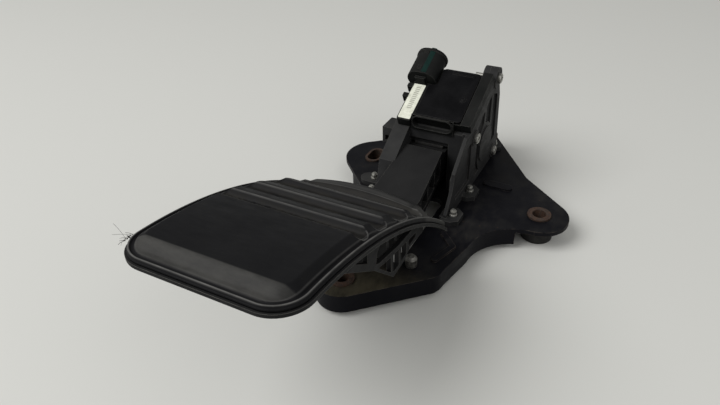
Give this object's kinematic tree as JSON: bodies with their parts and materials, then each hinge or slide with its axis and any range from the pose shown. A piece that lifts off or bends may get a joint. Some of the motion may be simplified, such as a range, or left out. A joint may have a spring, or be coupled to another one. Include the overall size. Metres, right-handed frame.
{
  "type": "accelerator pedal",
  "caption": "Suspended electronic accelerator pedal: ribbed curved tread on a sprung lever, plastic pivot housing with sensor and connector, stamped steel mounting plate with bushed ears.",
  "frame": {"origin": "centre of the round bolt hole in the right ear, on the plane the bush ends seat on", "axes": "+X to the pedal's right as its user sees it, +Y from the pad up along the mounting plate, +Z from the mounting surface towards the user"},
  "size_m": [0.127, 0.2383, 0.0818],
  "materials": {
    "plate_paint": "semi-gloss black coat on stamped steel, dusty, rust at the cut edges",
    "rusty_steel": "bare steel with brown surface rust",
    "zinc_steel": "dulled zinc plating",
    "bright_steel": "plain steel",
    "moulded_black": "matte moulded black plastic, dusty",
    "lever_black": "satin moulded black plastic, worn at the edges",
    "tread_black": "satin dark grey-black tread, worn pale at its rims",
    "lid_black": "glossy black plastic",
    "seal_rubber": "matte black rubber",
    "insert_teal": "teal moulded plastic",
    "label_paper": "plain white label, slightly soiled",
    "board_green": "green circuit board"
  },
  "bodies": {
    "bracket": {"mounting_plate": "plate_paint", "right_collar": "rusty_steel", "left_collar": "rusty_steel", "lower_collar": "rusty_steel", "right_standoff": "seal_rubber", "left_standoff": "seal_rubber", "lower_standoff": "seal_rubber", "top_spacer": "rusty_steel", "stop_bolt": "zinc_steel", "housing_body": "moulded_black", "side_cover": "moulded_black", "cover_screws": "zinc_steel", "foot_studs": "zinc_steel", "side_clip": "moulded_black", "idle_bumper": "seal_rubber", "left_bush": "bright_steel", "right_bush": "bright_steel", "spring_cup": "zinc_steel", "sensor_body": "moulded_black", "lid_seal": "seal_rubber", "sensor_lid": "lid_black", "circuit_board": "board_green", "hall_sensor": "lid_black", "connector_insert": "insert_teal", "terminal_pins": "bright_steel", "label": "label_paper", "outer_spring": "bright_steel", "inner_spring": "bright_steel"},
    "pedal": {"pedal_lever": "lever_black", "tread_cover": "tread_black", "pivot_shaft": "bright_steel", "magnet": "bright_steel", "spring_shoe": "zinc_steel"}
  },
  "joints": [
    {"name": "pedal_hinge", "type": "hinge", "parent": "bracket", "child": "pedal", "pos_m": [-0.0595, 0.027, 0.029], "axis": [1, 0, 0], "range_deg": [0, 11.5], "stiffness_Nm_per_rad": 6, "springref_deg": -20.05, "deforming": ["outer_spring", "inner_spring"]}
  ]
}
